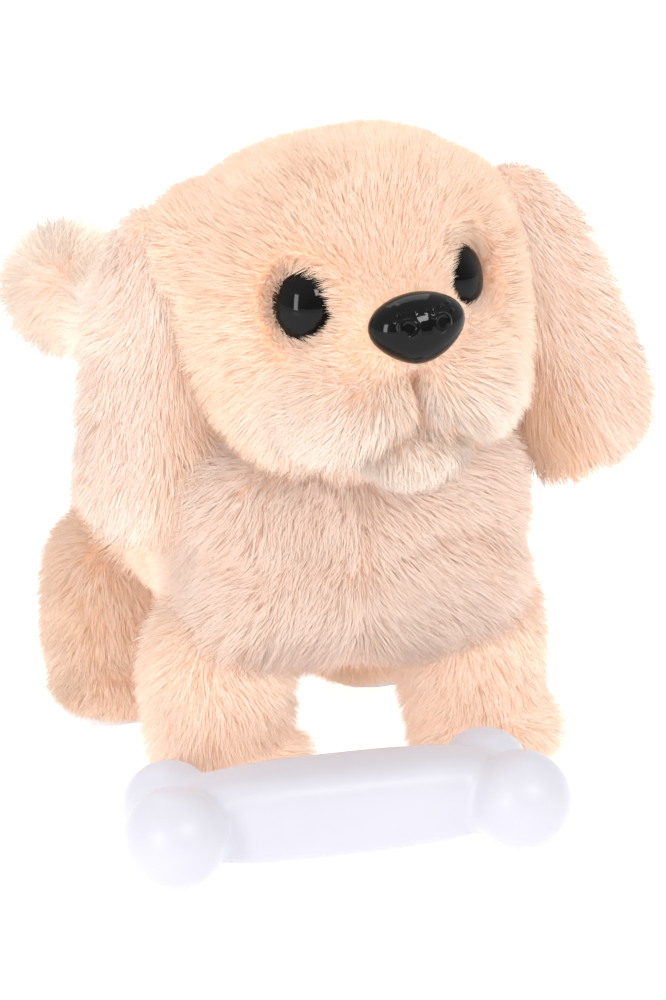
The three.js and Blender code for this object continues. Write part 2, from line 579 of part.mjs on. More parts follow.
const shell = chassisShell();
add('chassis_lower', chassisLower(shell), GREY_PLASTIC);
add('chassis_upper', chassisUpper(shell), GREY_PLASTIC);
SCREW_PLACES.forEach(([x, y], i) => {
  const place = placement([x, y, CHASSIS.splitZ - 13.4]);
  add(`chassis_screw_${i + 1}`, screw(2.4, 1.1, 15), STEEL, place);
});
add('battery_door', batteryDoor(), GREY_PLASTIC);
add('battery_door_screw', screw(2.4, 1.1, 6), STEEL, placement([0, DOOR.screwY, FLOOR - 1.3]));
[-1, 1].forEach((side, i) => {
  const turn = side > 0 ? 0 : 180;
  add(`battery_${i + 1}`, cell(), CELL_WRAP, placement([side * CELL.x, CELL.y, CELL.z], [0, 0, turn]));
  const springY = CELL.y - side * (CELL.length / 2 + 3.9);
  add(`battery_spring_${i + 1}`, coilSpring(), STEEL, placement([side * CELL.x, springY, CELL.z], [0, 0, turn]));
});
add('circuit_board', circuitBoard(), BOARD_GREEN);
add('speaker', speaker(), SPEAKER_BLACK, placement([0, 38, 67.3]));
add('motor', motor(), STEEL);
for (const [name, gear] of Object.entries(gearTrain())) add(name, gear, GEAR_PLASTIC);
add('crank_disc_right', crankDisc(-1, 90), GEAR_PLASTIC);
add('crank_disc_left', crankDisc(1, -90), GEAR_PLASTIC);
add('power_switch', box([-4, SWITCH_Y - 6, FLOOR + 4.5], [4, SWITCH_Y + 6, FLOOR + 9]), SPEAKER_BLACK);
add('power_switch_knob', union(box([-1.8, SWITCH_Y - 2, FLOOR - 1.5], [1.8, SWITCH_Y + 2, FLOOR + 4.2]),
  box([-3.4, SWITCH_Y - 3, FLOOR + 2.2], [3.4, SWITCH_Y + 3, FLOOR + 4.2])), SPEAKER_BLACK);
add('neck_post', neckPost(), GREY_PLASTIC);
add('touch_sensor_plate', box([-9, 22, ROOF + 0.1], [9, 46, ROOF + 0.5]), COPPER);
add('body_cover', bodyCover(), PEACH_PLUSH);

for (const [end, place, top] of [['front', LEG.front, LEVER.frontTop], ['hind', LEG.hind, LEVER.hindTop]]) {
  for (const [word, side] of [['right', -1], ['left', 1]]) {
    add(`${end}_${word}_leg`, legCore(side, place, top, end === 'front'), WHITE_PLASTIC);
    add(`${end}_${word}_leg_cover`, legCover(side, place), PEACH_PLUSH);
  }
}
add('link_right', linkBar(-1), GREY_PLASTIC);
add('link_left', linkBar(1), GREY_PLASTIC);

const head = new THREE.Group();
head.applyMatrix4(HEAD_PLACE);
pet.add(head);
const addToHead = (...args) => head.add(named(...args));
const jawRoom = union(swept(jawLever(1), JAW.pivot, [1, 0, 0], 0, JAW.openDegrees, 4),
  swept(jawChin(0.8), JAW.pivot, [1, 0, 0], 0, JAW.openDegrees, 4));
addToHead('skull_front', skullHalf(true, jawRoom), GREY_PLASTIC);
addToHead('skull_rear', skullHalf(false, jawRoom), GREY_PLASTIC);
let headCover = headShape(0).subtract(headCavity()).subtract(jawRoom);
for (const place of Object.values(EYE_PLACES)) headCover = headCover.subtract(moved(eyeShape(GAP), place));
headCover = headCover.subtract(moved(noseShape(GAP), NOSE_PLACE));
addToHead('head_cover', headCover, PEACH_PLUSH);
for (const [word, place] of Object.entries(EYE_PLACES)) {
  addToHead(`eye_${word}`, eyeShape(0), BLACK_GLOSS, place);
}
addToHead('nose', noseShape(0), BLACK_GLOSS, NOSE_PLACE);
addToHead('jaw_lever', jawLever(0).subtract(jawChin(0.4)), WHITE_PLASTIC);
addToHead('chin_cover', jawChin(0), CREAM_PLUSH);
addToHead('head_pivot_pin', bar('x', NECK.pinRadius, -11, 11, [NECK.y, NECK.z]), STEEL);
addToHead('ear_right', ear(-1, EAR_RIGHT), PEACH_PLUSH);
addToHead('ear_left', ear(1, EAR_LEFT), PEACH_PLUSH);

add('tail_lever', tailLever(), WHITE_PLASTIC, TAIL_PLACE);
add('tail_cover', tailCover(), CREAM_PLUSH, TAIL_PLACE);
add('bone_upper', boneHalf(true), WHITE_PLASTIC, BONE_PLACE);
add('bone_lower', boneHalf(false), WHITE_PLASTIC, BONE_PLACE);

export default pet;
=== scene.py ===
"""The looks of an interactive plush puppy with a toy bone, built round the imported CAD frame. Left and right
are the puppy's own."""
import json
import math
import zlib

import bmesh
import bpy
import numpy as np
from mathutils import Matrix, Vector, noise
from mathutils.kdtree import KDTree


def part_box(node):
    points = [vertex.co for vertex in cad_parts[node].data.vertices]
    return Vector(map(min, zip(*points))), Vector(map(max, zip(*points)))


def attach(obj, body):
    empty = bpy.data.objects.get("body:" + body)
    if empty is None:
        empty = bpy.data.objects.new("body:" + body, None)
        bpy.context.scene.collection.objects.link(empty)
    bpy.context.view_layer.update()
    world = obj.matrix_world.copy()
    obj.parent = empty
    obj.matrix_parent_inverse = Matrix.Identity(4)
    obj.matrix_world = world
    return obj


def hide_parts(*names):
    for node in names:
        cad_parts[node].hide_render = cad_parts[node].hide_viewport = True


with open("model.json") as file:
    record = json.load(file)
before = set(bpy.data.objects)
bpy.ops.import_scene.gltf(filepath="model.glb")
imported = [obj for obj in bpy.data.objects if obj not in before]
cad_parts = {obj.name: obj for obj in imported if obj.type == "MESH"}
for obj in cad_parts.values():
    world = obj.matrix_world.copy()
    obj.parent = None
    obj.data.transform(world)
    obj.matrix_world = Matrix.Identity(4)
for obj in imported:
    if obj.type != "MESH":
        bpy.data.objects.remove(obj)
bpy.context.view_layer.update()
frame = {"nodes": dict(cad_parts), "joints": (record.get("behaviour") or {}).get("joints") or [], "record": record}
joints = {joint["name"]: joint for joint in frame["joints"]}
MM = 0.001


def pivot(joint):
    return Vector(joints[joint]["pos_m"])


def axis(joint):
    return Vector(joints[joint]["axis"]).normalized()


# ---- places in the frame: the layout's own middle, the head's frame, and the other turned parts ----
LEG_PIVOT_Z = pivot("front_left_leg_swing").z
MIDDLE_X = (pivot("front_left_leg_swing").x + pivot("front_right_leg_swing").x) / 2
MIDDLE = Vector((MIDDLE_X, pivot("front_left_leg_swing").y + 22 * MM, 0))


def layout(x, y, z):
    """A place in metres from millimetres measured from the middle of the puppy, at the floor."""
    return MIDDLE + Vector((x, y, z)) * MM


head_x, head_y = axis("head_nod"), axis("right_ear_flop")
head_turn = Matrix((head_x, head_y, head_x.cross(head_y))).transposed()
HEAD = Matrix.Translation(pivot("head_nod") - head_turn @ Vector((0, 2, -13)) * MM) @ head_turn.to_4x4()
tail_turn = Matrix.Rotation(math.radians(24.5), 4, "Z") @ Matrix.Rotation(math.radians(17), 4, "X")
TAIL = Matrix.Translation(pivot("tail_wag")) @ tail_turn
BODY = Matrix.Translation(MIDDLE)
PLAIN = Matrix.Identity(4)


# ---- camera ----
def make_camera():
    azimuth, elevation, roll = (math.radians(value) for value in (-21.5, 16.5, -0.6))
    distance, focal_pixels, frame_height = 0.712, 3075, 1000
    back = Vector((math.sin(azimuth) * math.cos(elevation), -math.cos(azimuth) * math.cos(elevation),
                   math.sin(elevation)))
    camera = bpy.data.objects.new("camera", bpy.data.cameras.new("camera"))
    camera.location = layout(0, 0, 63.5) + back * distance
    camera.rotation_mode = "QUATERNION"
    turn = (-back).to_track_quat("-Z", "Y").to_matrix() @ Matrix.Rotation(roll, 3, "Z")
    camera.rotation_quaternion = turn.to_quaternion()
    camera.data.lens = 36 * focal_pixels / frame_height
    camera.data.shift_x, camera.data.shift_y = 0.024, -0.0055
    camera.data.clip_start, camera.data.clip_end = 0.05, 20
    bpy.context.scene.collection.objects.link(camera)
    bpy.context.scene.camera = camera


make_camera()


# ---- materials ----
def principled(name, color, roughness, **sockets):
    material = bpy.data.materials.new(name)
    material.use_nodes = True
    shader = material.node_tree.nodes["Principled BSDF"]
    shader.inputs["Base Color"].default_value = (*color, 1)
    shader.inputs["Roughness"].default_value = roughness
    for socket, value in sockets.items():
        shader.inputs[socket.replace("_", " ")].default_value = value
    return material


def mottled(name, low, high, scale, roughness, bump=0.0, bump_scale=None, detail=3.0, **sockets):
    """A procedural finish: noise mixes two colours, and finer noise raises the surface."""
    material = principled(name, high, roughness, **sockets)
    nodes, links = material.node_tree.nodes, material.node_tree.links
    shader = nodes["Principled BSDF"]
    coordinates = nodes.new("ShaderNodeTexCoord")
    pattern = nodes.new("ShaderNodeTexNoise")
    pattern.inputs["Scale"].default_value = scale
    pattern.inputs["Detail"].default_value = detail
    ramp = nodes.new("ShaderNodeValToRGB")
    ramp.color_ramp.elements[0].position, ramp.color_ramp.elements[1].position = 0.35, 0.65
    ramp.color_ramp.elements[0].color, ramp.color_ramp.elements[1].color = (*low, 1), (*high, 1)
    links.new(coordinates.outputs["Object"], pattern.inputs["Vector"])
    links.new(pattern.outputs["Fac"], ramp.inputs["Fac"])
    links.new(ramp.outputs["Color"], shader.inputs["Base Color"])
    if bump:
        grain = nodes.new("ShaderNodeTexNoise")
        grain.inputs["Scale"].default_value = bump_scale or scale * 8
        relief = nodes.new("ShaderNodeBump")
        relief.inputs["Strength"].default_value = bump
        relief.inputs["Distance"].default_value = 0.0002
        links.new(coordinates.outputs["Object"], grain.inputs["Vector"])
        links.new(grain.outputs["Fac"], relief.inputs["Height"])
        links.new(relief.outputs["Normal"], shader.inputs["Normal"])
    return material


PEACH = (0.925, 0.685, 0.535)
PINK = (0.950, 0.765, 0.665)
CREAM = (0.810, 0.680, 0.590)
BEIGE = (0.860, 0.670, 0.565)
# Painted shade: a deeper orange for the pile in creases, along the ears' inner edges and at the legs' tops.
SHADE_ORANGE = (0.880, 0.620, 0.470)
# Painted light: a brighter peach for the front legs, lifting the shade of the head and chest.
LIT_PEACH = (0.975, 0.750, 0.615)
PALE = (0.985, 0.840, 0.730)
# The backing's weave is a bump; its emission is a painted glow lifting the shade in the partings.
WEAVE_AND_GLOW = dict(bump=0.5, bump_scale=2600, Emission_Strength=0.24, Emission_Color=(0.93, 0.54, 0.35, 1))
# The backing is a deeper orange than its pile: painted warm shade where the partings show it.
BACKING = {
    "peach": mottled("peach_backing", (0.88, 0.47, 0.27), (0.93, 0.60, 0.40), 160, 0.95, **WEAVE_AND_GLOW),
    "pink": mottled("pink_backing", (0.88, 0.50, 0.33), (0.93, 0.63, 0.47), 160, 0.95, **WEAVE_AND_GLOW),
    "cream": mottled("cream_backing", (0.90, 0.58, 0.40), (0.95, 0.72, 0.57), 160, 0.95, **WEAVE_AND_GLOW),
    "beige": mottled("beige_backing", (0.80, 0.45, 0.30), (0.86, 0.56, 0.42), 160, 0.95, **WEAVE_AND_GLOW),
}
TONES = (0.95, 0.975, 1.0, 1.01, 1.02)      # brightness of the pile's tones
WASHES = (-0.16, -0.06, 0.03, 0.10, 0.17)   # how far each tone goes towards white
WHITE = (1.0, 0.97, 0.93)
GLOW_WARMTH = 1.4


def glowing(name, color, glow):
    """Pile with a little glow of its own colour, for the light that soaks through real fibres."""
    red, green, blue = color
    return principled(name, color, 0.95, Specular_IOR_Level=0.1, Emission_Strength=glow,
                      Emission_Color=(red, green ** GLOW_WARMTH, blue ** GLOW_WARMTH, 1))


def pile_tones(name, color):
    """The pile's fibres in a few tones of one colour, from shaded to bleached."""
    tones = []
    for i, (tone, wash) in enumerate(zip(TONES, WASHES)):
        mixed = tuple(tone * ((1 - wash) * c + wash * w) for c, w in zip(color, WHITE))
        tones.append(glowing(f"{name}_pile_{i + 1}", mixed, GLOW[name]))
    return tones


COLORS = {"peach": PEACH, "pink": PINK, "cream": CREAM, "beige": BEIGE, "leg": LIT_PEACH, "shade_orange": SHADE_ORANGE,
          "pale": PALE}
GLOW = {"peach": 0.16, "pink": 0.16, "cream": 0.16, "beige": 0.13, "leg": 0.25, "shade_orange": 0.14, "pale": 0.22}
# Painted shade: part of the undercoat takes a deeper, warmer copy of the pile's colour, down among the roots.
ROOT_SHADE_TINT = (0.98, 0.84, 0.74)                 # the undercoat's colour, as a share of the pile's
SHADED_UNDERCOAT = {name: glowing(f"{name}_undercoat_root_shade", tuple(c * deep for c, deep in zip(color, ROOT_SHADE_TINT)), GLOW[name])
             for name, color in COLORS.items()}
PILE = {name: pile_tones(name, color) for name, color in COLORS.items()}


# ---- meshes ----
def link(name, mesh):
    piece = bpy.data.objects.new(name, mesh)
    bpy.context.scene.collection.objects.link(piece)
    return piece


def blob(mesh, place, centre, radii, power=2.0, subdivisions=5):
    """Adds a superellipsoid to a bmesh. centre and radii are in millimetres in the frame that place gives."""
    made = bmesh.ops.create_icosphere(mesh, subdivisions=subdivisions, radius=1)["verts"]
    for vertex in made:
        total = sum(abs(value / radius) ** power for value, radius in zip(vertex.co, radii))
        vertex.co = place @ ((Vector(centre) + vertex.co * total ** (-1 / power)) * MM)


def fused(name, place, blobs, voxel, smoothing, subdivisions=4):
    """One closed skin grown round overlapping rounded solids."""
    mesh = bmesh.new()
    for item in blobs:
        blob(mesh, place, *item, subdivisions=subdivisions)
    data = bpy.data.meshes.new(name)
    mesh.to_mesh(data)
    mesh.free()
    piece = link(name, data)
    remesh = piece.modifiers.new("remesh", "REMESH")
    remesh.mode, remesh.voxel_size = "VOXEL", voxel * MM
    smooth = piece.modifiers.new("smooth", "SMOOTH")
    smooth.factor, smooth.iterations = 0.5, smoothing
    apply_modifiers(piece)
    shade_smooth(piece.data)
    return piece


def apply_modifiers(piece):
    depsgraph = bpy.context.evaluated_depsgraph_get()
    baked = bpy.data.meshes.new_from_object(piece.evaluated_get(depsgraph))
    old = piece.data
    piece.modifiers.clear()
    piece.data = baked
    baked.name = old.name
    bpy.data.meshes.remove(old)


def shade_smooth(data):
    data.polygons.foreach_set("use_smooth", np.ones(len(data.polygons), bool))


def read_points(data):
    points = np.empty(len(data.vertices) * 3, np.float32)
    data.vertices.foreach_get("co", points)
    return points.reshape(-1, 3).astype(float)


def write_points(data, points):
    data.vertices.foreach_set("co", points.astype(np.float32).ravel())
    data.update()


def unit(vectors):
    return vectors / np.maximum(np.linalg.norm(vectors, axis=1, keepdims=True), 1e-12)


# ---- pile: tapered fibres grown from a skin ----
BENT_CHUNK, STRAIGHT_CHUNK = 18000, 45000   # the most fibres in one piece
DENSITY = 1.0
COVERAGE = 1.55                             # fibres for each one that per_mm2 asks for
UNDER_SHARE = 0.5                           # straight undercoat's share of the fibres
DEEP_SHARE = 0.4                            # the part of the undercoat that has the deeper colour
TUFT_MM, TUFT_PULL = 2.2, 0.32              # tufts' spacing, and how far fibres are drawn to them
SWIRL = 0.6                                 # how much the lie wanders
FIBRE_RADIUS_MM = 0.085
ROOT_DEPTH = 0.0003                         # in metres, as the two below
LOWEST_FIBRE = 0.0002
LOWEST_SKIN = 0.3 * MM


class Skin:
    """A skin's triangles, ready for sampling, in metres."""

    def __init__(self, piece):
        data = piece.data
        data.calc_loop_triangles()
        corners = np.empty(len(data.loop_triangles) * 3, np.int32)
        data.loop_triangles.foreach_get("vertices", corners)
        self.corners = corners.reshape(-1, 3)
        self.points = read_points(data)
        normals = np.empty(len(data.vertices) * 3, np.float32)
        data.vertices.foreach_get("normal", normals)
        self.normals = normals.reshape(-1, 3).astype(float)
        a, b, c = (self.points[self.corners[:, i]] for i in range(3))
        self.areas = np.linalg.norm(np.cross(b - a, c - a), axis=1) / 2

    def sample(self, count, rng):
        chances = self.areas / self.areas.sum()
        faces = rng.choice(len(self.areas), count, p=chances)
        u, v = rng.random(count), rng.random(count)
        over = u + v > 1
        u[over], v[over] = 1 - u[over], 1 - v[over]
        weights = np.stack([1 - u - v, u, v], 1)[:, :, None]
        corners = self.corners[faces]
        roots = (self.points[corners] * weights).sum(1)
        normals = unit((self.normals[corners] * weights).sum(1))
        return roots, normals


def cloud(points, scale, seed):
    """Smooth noise from -1 to 1 at each point; scale is in cycles per metre."""
    shift = Vector((seed * 7.1, seed * 3.7, seed * 5.3))
    return np.array([noise.noise(Vector(point) * scale + shift) for point in points])


def bend_fibres(roots, normals, comb, lengths, lift, droop):
    """Middle and tip of each fibre: it leaves the skin steeply and leans over along the comb."""
    comb = unit(comb - (comb * normals).sum(1, keepdims=True) * normals)
    first = unit(normals * lift + comb * (1 - lift))
    second = unit(first + comb * droop * (1.2 - lift))
    middles = roots + first * lengths[:, None] * 0.5
    tips = middles + second * lengths[:, None] * 0.5
    return middles, tips


def gather(roots, middles, tips, centres, centre_middles, centre_tips, strength):
    """Draws each fibre towards the tuft that it is nearest to."""
    tree = KDTree(len(centres))
    for i, centre in enumerate(centres):
        tree.insert(centre, i)
    tree.balance()
    nearest = np.array([tree.find(root)[1] for root in roots])
    pull = strength[:, None]
    middles += (centre_middles[nearest] + (roots - centres[nearest]) * 0.6 - middles) * pull * 0.6
    tips += (centre_tips[nearest] + (roots - centres[nearest]) * 0.15 - tips) * pull
    return nearest


def fibre_mesh(name, roots, middles, tips, normals, thickness, tones):
    """A closed three-sided spike for each fibre: a root ring, a middle ring for a bent one, and a point. Its
    shading normals lean towards the skin's, as light soaks through real pile."""
    count = len(roots)
    bent = middles is not None
    along = unit((middles if bent else tips) - roots)
    across = unit(np.cross(along, normals + 0.01))
    over = np.cross(along, across)
    rings, facings = [], []
    levels = [(roots - normals * ROOT_DEPTH, 1.0)] + ([(middles, 0.8)] if bent else [])
    for centre, width in levels:
        for k in range(3):
            angle = 2 * math.pi * k / 3
            outward = across * math.cos(angle) + over * math.sin(angle)
            rings.append(centre + outward * thickness[:, None] * width)
            facings.append(unit(normals + outward * 0.3))
    vertices = np.stack([*rings, tips], 1).reshape(-1, 3)
    facings = np.stack([*facings, unit(normals + along * 0.2)], 1).reshape(-1, 3)
    vertices[:, 2] = np.maximum(vertices[:, 2], LOWEST_FIBRE)
    faces = [(2, 1, 0)]
    if bent:
        faces += [(k, (k + 1) % 3, 3 + (k + 1) % 3, 3 + k) for k in range(3)]
    last = len(rings) - 3
    faces += [(last + k, last + (k + 1) % 3, last + 3) for k in range(3)]
    loops = np.concatenate([np.array(face) for face in faces])
    sizes = np.array([len(face) for face in faces])
    per_fibre = len(rings) + 1
    base = np.arange(count)[:, None] * per_fibre
    data = bpy.data.meshes.new(name)
    data.vertices.add(count * per_fibre)
    data.vertices.foreach_set("co", vertices.astype(np.float32).ravel())
    data.loops.add(count * len(loops))
    data.loops.foreach_set("vertex_index", (base + loops[None, :]).astype(np.int32).ravel())
    all_sizes = np.tile(sizes, count)
    starts = np.concatenate([[0], np.cumsum(all_sizes)[:-1]])
    data.polygons.add(count * len(faces))
    data.polygons.foreach_set("loop_start", starts.astype(np.int32))
    data.polygons.foreach_set("material_index", np.repeat(tones, len(faces)).astype(np.int32))
    data.update(calc_edges=True)
    shade_smooth(data)
    data.validate()
    data.normals_split_custom_set_from_vertices(facings)
    return data


def grow_pile(name, skin, body, color, comb, length, per_mm2, lift, droop, keep=None, shade=None,
              blends=()):
    """Grows pile on a skin. comb(points, normals) gives its lie, length(points) its length in metres,
    keep(points) the chance that a fibre grows there, and shade(points) moves its tone up or down. lift is how
    steeply the fibres stand, a number or a function of the points. Each of blends is another colour and a
    function for the chance that a fibre has it."""
    rng = np.random.default_rng(zlib.crc32(name.encode()))
    surface = Skin(skin)
    area = surface.areas.sum() / MM ** 2
    roots, normals = surface.sample(int(area * per_mm2 * COVERAGE * DENSITY), rng)
    centres, centre_normals = surface.sample(int(area / TUFT_MM ** 2), rng)
    if keep is not None:
        kept = rng.random(len(roots)) < keep(roots)
        roots, normals = roots[kept], normals[kept]

    def lay(points, directions, wildness):
        lie = unit(comb(points, directions)) + rng.normal(0, wildness, points.shape)
        lie += SWIRL * np.stack([cloud(points, 110, seed) for seed in (3, 5, 7)], 1)
        lie += SWIRL * 0.6 * np.stack([cloud(points, 45, seed) for seed in (2, 4, 6)], 1)
        lengths = length(points) * rng.uniform(0.82, 1.1, len(points))
        steepness = lift(points) if callable(lift) else np.full(len(points), lift)
        return bend_fibres(points, directions, lie, lengths, steepness[:, None], droop)

    middles, tips = lay(roots, normals, 0.24)
    centre_middles, centre_tips = lay(centres, centre_normals, 0.22)
    strength = np.clip(rng.normal(TUFT_PULL, 0.2, len(roots)), 0, 0.95)
    under = rng.random(len(roots)) < UNDER_SHARE
    tips[under] += (roots - tips)[under] * rng.uniform(0.1, 0.5, (under.sum(), 1))
    strength[under] *= 0.5
    nearest = gather(roots, middles, tips, centres, centre_middles, centre_tips, strength)
    level = 2.2 + 0.9 * cloud(roots, 55, 1) + 1.1 * cloud(roots, 140, 12)
    level = level + rng.normal(0, 0.55, len(roots)) + rng.normal(0, 0.45, len(centres))[nearest]
    if shade is not None:
        level += shade(roots)
    tones = np.clip(np.round(level), 0, len(TONES) - 1).astype(int)
    palette = list(PILE[color])
    for other, chance in blends:
        chosen = rng.random(len(roots)) < chance(roots)
        tones[chosen] = tones[chosen] % len(TONES) + len(palette)
        palette += PILE[other]
    # Painted shade: these undercoat fibres take the deeper colour, for the warm shade among the roots.
    deep = under & (rng.random(len(roots)) < DEEP_SHARE)
    tones[deep] = len(palette)
    palette.append(SHADED_UNDERCOAT[color])
    widths = rng.uniform(0.75, 1.2, len(roots)) * FIBRE_RADIUS_MM * MM / math.sqrt(DENSITY) ** 0.6
    for word, chosen, chunk in (("bent", ~under, BENT_CHUNK), ("straight", under, STRAIGHT_CHUNK)):
        chosen = np.flatnonzero(chosen)
        pieces = math.ceil(len(chosen) / chunk)
        for i in range(pieces):
            part = chosen[i::pieces]
            bends = middles[part] if word == "bent" else None
            data = fibre_mesh(f"{name}_{word}_{i + 1}", roots[part], bends, tips[part], normals[part],
                              widths[part], tones[part])
            for material in palette:
                data.materials.append(material)
            piece = link(f"{name}_{word}_{i + 1}", data)
            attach(piece, body)


def plush_skin(piece, color, body, record_slot, *nodes):
    piece.data.materials.clear()
    piece.data.materials.append(BACKING[color])
    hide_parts(*nodes)
    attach(piece, body)


LAST_FRAME = 12
CLOTH_MASS, CLOTH_STIFFNESS, CLOTH_QUALITY = 0.05, 8, 4
INWARD_SHARE = 0.2                          # how much of a move into the skin is kept


def stuff(skin, slack_mm, pressure, held=None, cap_mm=2.2):
    """Takes the skin in by slack_mm and puts it under pressure in a short cloth simulation, with its seams
    held where held(points) says so. No point moves more than cap_mm."""
    surface = Skin(skin)
    slack = surface.points - surface.normals * slack_mm * MM
    write_points(skin.data, slack)
    cloth = skin.modifiers.new("stuffing", "CLOTH")
    settings = cloth.settings
    settings.quality = CLOTH_QUALITY
    settings.mass = CLOTH_MASS
    settings.tension_stiffness = settings.compression_stiffness = CLOTH_STIFFNESS
    settings.use_pressure = True
    settings.uniform_pressure_force = pressure
    settings.effector_weights.gravity = 0
    if held is not None:
        seam = skin.vertex_groups.new(name="seam")
        seam.add([int(i) for i in np.flatnonzero(held(slack))], 1.0, "REPLACE")
        settings.vertex_group_mass = "seam"
    for step in range(1, LAST_FRAME + 1):
        bpy.context.scene.frame_set(step)
    swollen = read_points(skin.evaluated_get(bpy.context.evaluated_depsgraph_get()).data)
    skin.modifiers.remove(cloth)
    bpy.context.scene.frame_set(1)
    moved = swollen - slack
    distance = np.linalg.norm(moved, axis=1, keepdims=True)
    inward = (moved * surface.normals).sum(1, keepdims=True) < 0
    moved *= np.minimum(1.0, cap_mm * MM / np.maximum(distance, 1e-9)) * np.where(inward, INWARD_SHARE, 1.0)
    write_points(skin.data, np.round(slack + moved, 5))


def plump(skin, depth_mm, scale=55):
    """Uneven stuffing: soft hollows and rises over the skin."""
    surface = Skin(skin)
    rise = cloud(surface.points, scale, 9) * depth_mm * MM
    write_points(skin.data, surface.points + surface.normals * rise[:, None])


def to_local(place, points):
    """Points in metres in the row frame, as millimetres in a part's own frame."""
    inverse = np.array(place.inverted())
    return (points @ inverse[:3, :3].T + inverse[:3, 3]) / MM


def turned(place, vectors):
    return vectors @ np.array(place)[:3, :3].T


def smoothstep(low, high, values):
    t = np.clip((values - low) / (high - low), 0, 1)
    return t * t * (3 - 2 * t)


# ---- body ----
SEAM_X = 4                                  # the chest's seam lies a little to the puppy's right


def build_body():
    blobs = [
        ((0, 12, 63.5), (35, 54, 29.5), 3.0),
        ((0, -20, 65), (38.5, 24, 26), 3.4),
        ((24.5, -22, 52), (14, 20, 12.5), 2.6),
        ((-24.5, -22, 52), (14, 20, 12.5), 2.6),
        ((0, -18, 84), (31, 24, 14), 2.2),
        ((26, 44, 54), (13, 20, 19), 2.0),
        ((-26, 44, 54), (13, 20, 19), 2.0),
    ]
    skin = fused("body_plush", BODY, blobs, 1.6, 14)

    def held(points):
        x, y = to_local(BODY, points)[:, :2].T
        return (np.abs(x + SEAM_X) < 1.3) & (y < -22)

    stuff(skin, 1.2, 60, held)
    plump(skin, 1.5)
    plush_skin(skin, "beige", "torso", "peach_plush", "body_cover")

    def comb(points, normals):
        x, y = to_local(BODY, points)[:, :2].T
        front = smoothstep(-20, -38, y)
        side = np.tanh((x + SEAM_X) / 5)
        lie = np.stack([side * (0.2 + 0.9 * front), 0.9 * (1 - front), -0.75 - 0.2 * front], 1)
        return turned(BODY, lie)

    def keep(points):
        x, y, z = to_local(BODY, points).T
        belly = smoothstep(46, 38, z) * smoothstep(-34, -24, y)
        neck = smoothstep(88, 93, z) * (np.hypot(x, y + 26) < 22)
        hidden = np.clip(belly + neck, 0, 1)
        return (0.72 + 0.28 * smoothstep(-10, -26, y)) * (1 - 0.6 * hidden)

    def length(points):
        x, y, z = to_local(BODY, points).T
        seam = np.exp(-((x + SEAM_X) / 2.2) ** 2) * smoothstep(-25, -40, y)
        fringe = smoothstep(52, 42, z) * smoothstep(0, -25, y)
        fold = np.exp(-((z - 62 - 4 * np.sin(x / 9)) / 3.0) ** 2) * smoothstep(-25, -40, y)
        return (8.5 - 3.0 * seam - 2.5 * fold + 3.5 * fringe) * MM

    # Painted shade: darker tones down the chest's seam and along its fold.
    def shade(points):
        x, y, z = to_local(BODY, points).T
        fold = np.exp(-((z - 60 - 4 * np.sin(x / 9)) / 3.0) ** 2)
        return -(0.9 * np.exp(-((x + SEAM_X) / 2.0) ** 2) + 0.8 * fold) * smoothstep(-25, -40, y)

    def sides(points):
        return smoothstep(-30, -5, to_local(BODY, points)[:, 1])

    grow_pile("body_pile", skin, "torso", "beige", comb, length, per_mm2=6.0, shade=shade,
              keep=keep, blends=[("peach", sides)], lift=0.68, droop=1.4)


# ---- legs ----
def build_leg(word, end, side):
    foot = pivot(f"{end}_{word}_leg_swing")
    place = Matrix.Translation(Vector((foot.x, foot.y, 0)))
    width, depth = (13.0, 12.4) if end == "front" else (12.0, 12.6)
    foot_x = 2.4 if end == "front" else -side * 1.8
    blobs = [
        ((0, 0, 26), (width, depth, 24), 2.6),
        ((foot_x, -2.5, 9), (width + 1.4, depth + 0.8, 8.7), 2.4),
    ]
    skin = fused(f"{end}_{word}_leg_plush", place, blobs, 1.4, 8)
    body = f"{end}_{word}_leg_body"
    stuff(skin, 0.15, 60)
    plump(skin, 1.2)
    points = read_points(skin.data)
    points[:, 2] = np.maximum(points[:, 2], LOWEST_SKIN)
    write_points(skin.data, points)
    plush_skin(skin, "peach", body, "peach_plush", f"{end}_{word}_leg_cover")

    def comb(points, normals):
        local = to_local(place, points)
        lie = normals * 0.25
        lie[:, 2] -= 0.8
        low = smoothstep(7, 1, local[:, 2])[:, None]
        return lie * (1 - low) + normals * low * 0.4 + np.array([0, 0, 0.05])

    def length(points):
        z = to_local(place, points)[:, 2]
        return (2.5 + 4.5 * smoothstep(1.0, 10, z)) * MM

    def keep(points):
        return smoothstep(0.2, 2.0, to_local(place, points)[:, 2])

    # Painted shade: shade-orange tones at the top of each leg, under the body.
    def shoulder_shade(points):
        return 0.7 * smoothstep(34, 48, to_local(place, points)[:, 2])

    # Painted light: front legs take the brighter leg palette and stronger glow, against the shade above them.
    color = "leg" if end == "front" else "peach"
    grow_pile(f"{end}_{word}_leg_pile", skin, body, color, comb, length, per_mm2=5.5, keep=keep,
              blends=[("shade_orange", shoulder_shade)], lift=0.72, droop=1.2)


# ---- head ----
EYE = dict(x=18.15, y=-25.4, z=7.8, radius=7.6, depth=5.2, out=34, up=10)
NOSE = dict(centre=(0.8, -41.5, 3.2), radii=(10.4, 6.2, 7.5), up=8)
LEFT_EYE_SUNK = 2.4
EYE_OVAL = (0.9, 1.1)                       # an eye's width and height, as shares of its radius
CHIN_CENTRE = (2, -28, -26.5)


def stud_place(centre, up, out):
    turn = Matrix.Rotation(math.radians(out), 4, "Z") @ Matrix.Rotation(math.radians(-up), 4, "X")
    return HEAD @ Matrix.Translation(Vector(centre) * MM) @ turn


def eye_place(side):
    sunk = LEFT_EYE_SUNK if side > 0 else 0.0
    centre = (side * (EYE["x"] - 0.56 * sunk), EYE["y"] + 0.83 * sunk, EYE["z"])
    return stud_place(centre, EYE["up"], side * EYE["out"])


